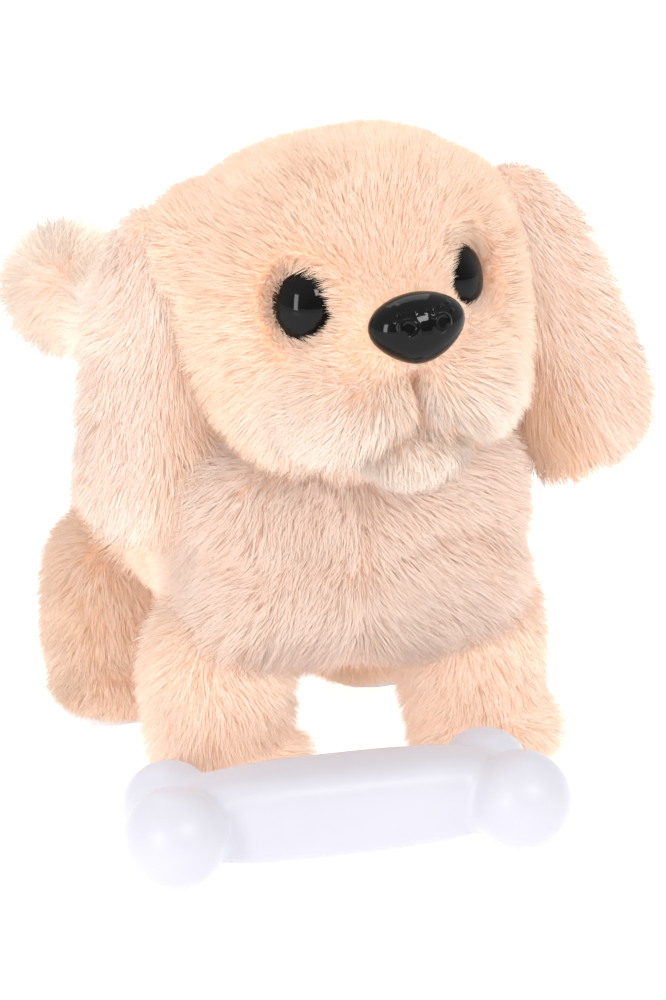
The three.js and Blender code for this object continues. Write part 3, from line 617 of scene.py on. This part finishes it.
NOSE_PLACE = stud_place(NOSE["centre"], NOSE["up"], 0)


def head_blobs():
    return [
        ((0, 0, 0), (35.5, 33, 33.5), 2.5),
        ((-29, 8, 14), (10, 15, 13), 2.0),
        ((27, 4, 12), (10, 15, 13), 2.0),
        ((0, -27.5, -0.5), (15, 16.5, 12), 2.2),
        ((10.5, -26.5, -12.5), (13.5, 16.5, 11), 2.1),
        ((-10.5, -26.5, -12.5), (13.5, 16.5, 11), 2.1),
        ((15.5, -10, -14), (16.5, 18.5, 15), 2.0),
        ((-15.5, -10, -14), (16.5, 18.5, 15), 2.0),
    ]


def mouth_height(x):
    """The height of the mouth's line, an upturned V that runs out under the two jowls."""
    return -15 - 6.5 * np.minimum(np.abs(x - 0.3) / 12, 1.3) ** 1.3


def face_grooves(local):
    """How strongly, from 0 to 1, a point lies in the groove under the nose and in the mouth's line."""
    x, y, z = local.T
    line = mouth_height(x)
    groove = np.exp(-((x - 0.3) / 2.6) ** 2) * smoothstep(-28, -35, y) * smoothstep(-3, -8, z) * (z > line)
    mouth = np.exp(-((z - line) / 2.4) ** 2) * smoothstep(-14, -26, y) * smoothstep(20, 13, np.abs(x))
    return groove, mouth


def carve_face(skin):
    surface = Skin(skin)
    groove, mouth = face_grooves(to_local(HEAD, surface.points))
    depth = (3.2 * groove + 4.2 * mouth) * MM
    points = surface.points - surface.normals * depth[:, None]
    for place in (eye_place(-1), eye_place(1)):
        x, y, z = to_local(place, points).T
        press = smoothstep(10.8, 7.2, np.hypot(x / EYE_OVAL[0], z / EYE_OVAL[1])) * (y < 12)
        sunk = (np.maximum(y, 0.6) - y) * press
        points += turned(place, np.stack([0 * x, sunk, 0 * x], 1)) * MM
    write_points(skin.data, points)


def build_head():
    skin = fused("head_plush", HEAD, head_blobs(), 1.4, 12)

    def held(points):
        groove, mouth = face_grooves(to_local(HEAD, points))
        return np.maximum(groove, mouth) > 0.75

    stuff(skin, 0.5, 500, held)
    plump(skin, 1.3)
    carve_face(skin)
    plush_skin(skin, "peach", "head", "peach_plush", "head_cover")
    eyes = [eye_place(-1), eye_place(1)]
    nose_tip = np.array([0.3, -46, 5.0])

    def clearance(points):
        """Distance in millimetres sideways from the nearer eye's axis, or from the nose's edge."""
        distances = []
        for place in eyes:
            local = to_local(place, points)
            away = np.hypot(local[:, 0] / EYE_OVAL[0], local[:, 2] / EYE_OVAL[1])
            distances.append(np.where(local[:, 1] < 6, away - EYE["radius"], 99))
        local = to_local(NOSE_PLACE, points)
        rim = np.hypot(local[:, 0] / NOSE["radii"][0], local[:, 2] / NOSE["radii"][2])
        distances.append(np.where(local[:, 1] < 12, (rim - 0.9) * 9, 99))
        return np.min(distances, 0)

    def comb(points, normals):
        local = to_local(HEAD, points)
        away = unit(local - nose_tip)
        x, y, z = local.T
        lie = away
        low = smoothstep(4, -12, z)
        lie[:, 2] -= 0.75 * low
        lie[:, 0] += 0.35 * np.tanh(x / 6) * smoothstep(-15, -30, y)
        return turned(HEAD, lie)

    def length(points):
        local = to_local(HEAD, points)
        y, z = local[:, 1:].T
        near = smoothstep(0, 9, clearance(points))
        low = smoothstep(0, -18, z)
        bridge = smoothstep(-12, -34, y) * (1 - low)
        jowl = low * smoothstep(-12, -24, y)
        groove, mouth = face_grooves(local)
        base = 6.2 + 1.5 * low + 2.5 * jowl - 2.0 * bridge - 5.0 * np.maximum(groove, mouth)
        return (5.0 + (base - 5.0) * near - 3.0 * nose_side(points)) * MM

    def nose_side(points):
        x, y, z = to_local(NOSE_PLACE, points).T
        rim = np.hypot(x / NOSE["radii"][0], z / NOSE["radii"][2])
        return smoothstep(1.7, 1.1, rim) * (y < 12)

    def lift(points):
        y, z = to_local(HEAD, points)[:, 1:].T
        jowl = smoothstep(-4, -18, z) * smoothstep(-12, -24, y)
        return 0.74 - 0.2 * jowl + 0.2 * smoothstep(6, 0, clearance(points)) * (1 - nose_side(points))

    def keep(points):
        return smoothstep(-0.5, 0.5, clearance(points))

    # Painted shade: darker tones in the groove under the nose and along the mouth's line.
    def shade(points):
        groove, mouth = face_grooves(to_local(HEAD, points))
        return -1.2 * groove - 1.2 * mouth

    def muzzle(points):
        y, z = to_local(HEAD, points)[:, 1:].T
        return smoothstep(-2, -16, z) * smoothstep(-14, -32, y)

    # Painted shade: shade-orange tones in the groove under the nose and along the mouth's line.
    def crease_shade(points):
        groove, mouth = face_grooves(to_local(HEAD, points))
        return 0.85 * np.maximum(0.7 * groove, mouth)

    grow_pile("head_pile", skin, "head", "peach", comb, length, per_mm2=7.2, keep=keep,
              shade=shade, blends=[("cream", muzzle), ("shade_orange", crease_shade)], lift=lift, droop=1.3)


def build_chin():
    skin = fused("chin_plush", HEAD, [(CHIN_CENTRE, (9.5, 8, 5.5), 2.2)], 1.0, 4)
    plush_skin(skin, "cream", "jaw", "cream_plush", "chin_cover")

    def comb(points, normals):
        return turned(HEAD, np.tile([0.0, -0.35, -1.0], (len(points), 1))) + normals * 0.2

    def length(points):
        return np.full(len(points), 6.5 * MM)

    grow_pile("chin_pile", skin, "jaw", "cream", comb, length, per_mm2=5.5, lift=0.5, droop=1.3)


# ---- ears ----
EAR = dict(length=75, half_width=14.0, half_thickness=5.0)


def ear_place(side, top, flare, turn):
    placed = Matrix.Translation(Vector(top) * MM) @ Matrix.Rotation(math.radians(-side * flare), 4, "Y")
    return HEAD @ placed @ Matrix.Rotation(math.radians(-side * turn), 4, "Z")


def build_ear(word, side, top, flare, turn):
    place = ear_place(side, top, flare, turn)
    length_mm = EAR["length"]
    blobs = []
    steps = 9
    for i in range(steps):
        t = i / (steps - 1)
        width = EAR["half_width"] * (0.62 + 0.38 * math.sin(math.pi * min(1, 0.15 + t * 0.62)))
        z = -11 - t * (length_mm - 25)
        thick = EAR["half_thickness"] * (0.85 + 0.3 * t)
        blobs.append(((0, 0, z), (thick, width, 11), 2.2))
    blobs.append(((0, -3.5, -56), (5.5, 15, 15), 2.2))
    skin = fused(f"ear_{word}_plush", place, blobs, 1.4, 10, subdivisions=3)
    stuff(skin, 0.1, 60, cap_mm=0.6)
    plush_skin(skin, "pink", f"{word}_ear", "peach_plush", f"ear_{word}")

    def comb(points, normals):
        local = to_local(place, points)
        lie = np.stack([np.zeros(len(local)), 0.03 * local[:, 1], np.full(len(local), -1.0)], 1)
        return turned(place, lie) + normals * 0.15

    def length(points):
        y, z = to_local(place, points)[:, 1:].T
        brim = smoothstep(-4, -13, y) * smoothstep(-25, -45, z)
        return (2.5 + 6.0 * smoothstep(-2, -18, z) + 3.0 * brim) * MM

    # Shade-orange tones: painted shade along the inner edge by the head and more over the left ear, plus a small
    # share all over.
    def inner_edge_shade(points):
        return 0.1 + 0.7 * smoothstep(-1, -12, to_local(place, points)[:, 1]) + (0.15 if side > 0 else 0.0)

    # Painted shade: darker tones along the inner edge, and over the whole left ear.
    def shade(points):
        return -0.8 * smoothstep(-3, -13, to_local(place, points)[:, 1]) - (0.9 if side > 0 else 0.0)

    grow_pile(f"ear_{word}_pile", skin, f"{word}_ear", "pink", comb, length, per_mm2=6.0,
              shade=shade, blends=[("shade_orange", inner_edge_shade)], lift=0.6, droop=1.3)


# ---- tail ----
def build_tail():
    blobs = [((0, 60.5, 0), (11.5, 11.5, 11.5), 2.0), ((0, 34, 0), (7.5, 30, 7.5), 2.2)]
    skin = fused("tail_plush", TAIL, blobs, 1.4, 6)
    stuff(skin, 0.1, 60)
    plush_skin(skin, "cream", "tail", "cream_plush", "tail_cover")

    def comb(points, normals):
        local = to_local(TAIL, points)
        lie = np.tile([0.0, 1.0, 0.0], (len(local), 1)) * smoothstep(62, 40, local[:, 1])[:, None]
        return turned(TAIL, lie) + normals * 0.9 + np.array([0, 0, -0.25])

    def length(points):
        return np.full(len(points), 9.5 * MM)

    grow_pile("tail_pile", skin, "tail", "pale", comb, length, per_mm2=5.5, lift=0.85, droop=1.2)


# ---- eyes and nose ----
BLACK = mottled("black_gloss_plastic", (0.0012, 0.001, 0.001), (0.002, 0.0015, 0.0015), 300, 0.07,
                Specular_IOR_Level=0.2)


def revolve(name, place, profile, segments=64):
    """A closed body turned round its own Y axis from (radius, y) points in millimetres."""
    mesh = bmesh.new()
    rings = []
    for radius, y in profile:
        if radius < 1e-6:
            rings.append([mesh.verts.new(place @ (Vector((0, y, 0)) * MM))])
            continue
        angles = [2 * math.pi * k / segments for k in range(segments)]
        rings.append([mesh.verts.new(place @ (Vector((radius * math.cos(a), y, radius * math.sin(a))) * MM))
                      for a in angles])
    for near, far in zip(rings, rings[1:]):
        for k in range(segments):
            corners = [near[k % len(near)], near[(k + 1) % len(near)],
                       far[(k + 1) % len(far)], far[k % len(far)]]
            mesh.faces.new(list(dict.fromkeys(corners)))
    bmesh.ops.recalc_face_normals(mesh, faces=mesh.faces)
    data = bpy.data.meshes.new(name)
    mesh.to_mesh(data)
    mesh.free()
    shade_smooth(data)
    return link(name, data)


def build_eye(word, side):
    dome = [(EYE["radius"] * math.sin(a), -EYE["depth"] * math.cos(a))
            for a in np.linspace(0, math.pi / 2, 14)]
    rim = [(EYE["radius"] + 0.25, 0.35), (EYE["radius"] + 0.2, 0.9), (EYE["radius"] - 0.4, 1.3)]
    shank = [(1.7, 1.4), (1.6, 11), (0, 11.2)]
    oval = Matrix.Diagonal((EYE_OVAL[0], 1.0, EYE_OVAL[1], 1.0))
    eye = revolve(f"eye_{word}_dome", eye_place(side) @ oval, dome + rim + shank)
    eye.data.materials.append(BLACK)
    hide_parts(f"eye_{word}")
    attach(eye, "head")


def build_nose():
    """A glossy three-cornered pad, wider above, with two raised nostril curls and a few raised dots."""
    mesh = bmesh.new()
    bmesh.ops.create_icosphere(mesh, subdivisions=6, radius=1)
    rx, ry, rz = NOSE["radii"]
    rng = np.random.default_rng(11)
    dots = [(rng.uniform(-0.62, 0.62), rng.uniform(0.28, 0.78)) for _ in range(12)]
    for vertex in mesh.verts:
        x, y, z = vertex.co
        taper = 1.0 + 0.16 * z - 0.10 * z * z
        lift = 0.0
        if y < -0.15:
            for side in (-1, 1):
                dx, dz = (x - side * 0.34) * rx, (z - 0.12) * rz
                away = math.hypot(dx, dz)
                angle = math.atan2(dz, dx * side)
                if abs(angle + 0.9) > 0.5:
                    lift += 0.42 * math.exp(-((away - 1.7) / 0.38) ** 2)
            for dot_x, dot_z in dots:
                away = math.hypot((x - dot_x) * rx, (z - dot_z) * rz)
                lift += 0.28 * math.exp(-(away / 0.34) ** 2)
        point = Vector((x * rx * taper, y * ry, z * rz)) + Vector((x, y, z)).normalized() * lift
        vertex.co = NOSE_PLACE @ (point * MM)
    data = bpy.data.meshes.new("nose_pad")
    mesh.to_mesh(data)
    mesh.free()
    shade_smooth(data)
    nose = link("nose_pad", data)
    nose.data.materials.append(BLACK)
    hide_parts("nose")
    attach(nose, "head")


# ---- toy bone ----
def build_bone():
    low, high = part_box("bone_lower")[0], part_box("bone_upper")[1]
    lobe = (high.z - low.z) / 2 / MM
    middle = (low + high) / 2
    place = Matrix.Translation((middle.x, middle.y, lobe * MM)) @ Matrix.Rotation(math.radians(-6.7), 4, "Z")
    blobs = [((0, 0, 0), (42, 10.2, 10.4), 3.2)]
    for x, y, radius in ((38.6, -8.8, lobe), (36, 8.8, lobe - 0.8)):
        blobs += [((side * x, y, 0), (radius, radius, radius), 2.0) for side in (-1, 1)]
    # The bone's emission is a painted glow that evens out its shading and lifts its shaded top.
    plastic = mottled("white_bone_plastic_glow", (0.365, 0.36, 0.405), (0.38, 0.375, 0.42), 40, 0.42, bump=0.05,
                      bump_scale=900, Emission_Strength=0.29, Emission_Color=(0.95, 0.95, 1, 1))
    for half, above in (("upper", True), ("lower", False)):
        piece = fused(f"bone_{half}_shell", place, blobs, 0.9, 16)
        points = read_points(piece.data)
        low_z = points[:, 2].min()
        points[:, 2] = np.maximum(points[:, 2] - low_z, 0.0)
        write_points(piece.data, points)
        cut_level(piece, lobe * MM, above)
        piece.data.materials.clear()
        piece.data.materials.append(plastic)
        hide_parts(f"bone_{half}")
        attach(piece, "toy_bone")


def cut_level(piece, height, above):
    """Keeps the part of a closed piece above or below a height, and caps the cut."""
    mesh = bmesh.new()
    mesh.from_mesh(piece.data)
    cut = bmesh.ops.bisect_plane(mesh, geom=[*mesh.verts, *mesh.edges, *mesh.faces], plane_co=(0, 0, height),
                                 plane_no=(0, 0, 1), clear_inner=above, clear_outer=not above)
    rim = [item for item in cut["geom_cut"] if isinstance(item, bmesh.types.BMEdge)]
    bmesh.ops.contextual_create(mesh, geom=rim)
    bmesh.ops.recalc_face_normals(mesh, faces=mesh.faces)
    for face in mesh.faces:
        face.smooth = len(face.verts) < 8
        if not face.smooth:
            for edge in face.edges:
                edge.smooth = False
    mesh.to_mesh(piece.data)
    mesh.free()


# ---- carried-over CAD parts ----
def finish_cad_parts():
    finishes = {
        "peach_plush": BACKING["peach"], "cream_plush": BACKING["cream"],
        "white_plastic": mottled("white_plastic", (0.80, 0.80, 0.84), (0.88, 0.88, 0.91), 60, 0.4, bump=0.1),
        "black_gloss": BLACK,
        "grey_plastic": mottled("grey_plastic", (0.45, 0.44, 0.42), (0.52, 0.51, 0.49), 80, 0.55, bump=0.2),
        "gear_plastic": mottled("gear_plastic", (0.78, 0.72, 0.58), (0.84, 0.79, 0.66), 90, 0.45, bump=0.1),
        "steel": mottled("plated_steel", (0.50, 0.51, 0.53), (0.62, 0.63, 0.65), 200, 0.3, Metallic=1.0),
        "cell_wrap": mottled("cell_wrap", (0.03, 0.10, 0.05), (0.06, 0.16, 0.08), 60, 0.3),
        "board_green": mottled("solder_mask", (0.01, 0.13, 0.05), (0.02, 0.2, 0.08), 300, 0.35, bump=0.2),
        "black_plastic": mottled("black_plastic", (0.012, 0.012, 0.013), (0.02, 0.02, 0.022), 120, 0.55,
                                 bump=0.2),
        "copper": mottled("copper_foil", (0.75, 0.35, 0.20), (0.85, 0.45, 0.28), 150, 0.35, Metallic=1.0),
    }
    slot_of = {part["node"]: part["material_slot"] for part in frame["record"]["subparts"]}
    for name, node in frame["nodes"].items():
        node.data.materials.clear()
        node.data.materials.append(finishes[slot_of[name]])


# ---- stage ----
def make_stage():
    bpy.ops.mesh.primitive_plane_add(size=8, location=(0, 0, 0))
    floor = bpy.context.object
    floor.name = "floor"
    pale = mottled("pale_floor", (0.70, 0.70, 0.70), (0.72, 0.72, 0.72), 2, 0.95, Emission_Strength=0.74,
                   Emission_Color=(1, 1, 1, 1))
    floor.data.materials.append(pale)
    world = bpy.data.worlds.new("studio")
    bpy.context.scene.world = world
    world.use_nodes = True
    nodes, links = world.node_tree.nodes, world.node_tree.links
    direction, behind, fade = (nodes.new(kind) for kind in
                               ("ShaderNodeTexCoord", "ShaderNodeVectorMath", "ShaderNodeMapRange"))
    behind.operation = "DOT_PRODUCT"
    behind.inputs[1].default_value = (0, 1, 0.7)
    for socket, value in zip(("From Min", "From Max", "To Min", "To Max"), (-0.9, 0.0, 0.42, 0.95)):
        fade.inputs[socket].default_value = value
    links.new(direction.outputs["Generated"], behind.inputs[0])
    links.new(behind.outputs["Value"], fade.inputs["Value"])
    links.new(fade.outputs["Result"], nodes["Background"].inputs["Strength"])
    nodes["Background"].inputs["Color"].default_value = (1, 1, 1, 1)
    target = layout(0, -20, 80)
    for name, azimuth, elevation, distance, width, height, radiance in (
        ("left_softbox", -54, 12, 0.85, 0.15, 0.40, 11.5),
        ("right_softbox", 12, 32, 0.85, 0.20, 0.18, 18.0),
        ("top_softbox", 170, 62, 1.0, 0.8, 0.8, 1.8),
    ):
        azimuth, elevation = math.radians(azimuth), math.radians(elevation)
        place = (distance / MM * math.sin(azimuth) * math.cos(elevation),
                 -distance / MM * math.cos(azimuth) * math.cos(elevation),
                 80 + distance / MM * math.sin(elevation))
        power = radiance * math.pi * width * height
        light = bpy.data.lights.new(name, "AREA")
        light.shape, light.size, light.size_y, light.energy = "RECTANGLE", width, height, power
        lamp = link(name, light)
        lamp.location = layout(*place)
        lamp.rotation_mode = "QUATERNION"
        lamp.rotation_quaternion = (target - lamp.location).to_track_quat("-Z", "Y")
    bpy.context.scene.view_settings.view_transform = "Standard"


build_body()
for leg_end in ("front", "hind"):
    build_leg("right", leg_end, -1)
    build_leg("left", leg_end, 1)
build_head()
build_chin()
build_ear("right", -1, (-37, 10, 26), 11, 50)
build_ear("left", 1, (37, 2, 23), 18, 82)
build_tail()
for eye_word, eye_side in (("right", -1), ("left", 1)):
    build_eye(eye_word, eye_side)
build_nose()
build_bone()
finish_cad_parts()
make_stage()
